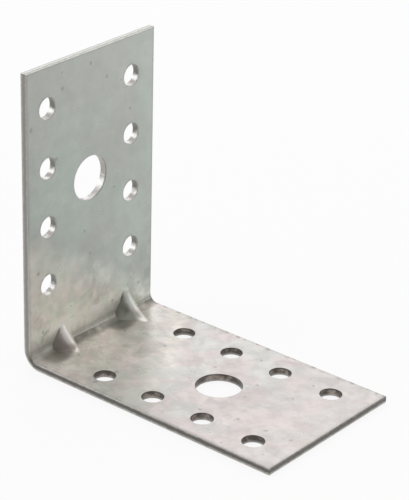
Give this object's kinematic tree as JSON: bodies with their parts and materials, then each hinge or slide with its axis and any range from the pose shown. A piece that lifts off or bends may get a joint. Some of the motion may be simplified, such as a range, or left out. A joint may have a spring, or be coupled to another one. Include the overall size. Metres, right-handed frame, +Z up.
{
  "type": "angle bracket",
  "caption": "Folded galvanised sheet angle bracket with equal legs, two pressed ribs across the fold, nail holes and a bolt hole in each leg.",
  "frame": {"origin": "underside of the base leg, at the middle of the bracket's length and width", "axes": "+X along the base leg from the fold to its end, +Z up along the upright leg, Y across the width of the sheet"},
  "size_m": [0.07, 0.041, 0.07],
  "materials": {
    "galvanised_sheet": "hot-dip galvanised, satin, faintly mottled"
  },
  "bodies": {
    "root": {"angle_bracket": "galvanised_sheet"}
  },
  "joints": []
}
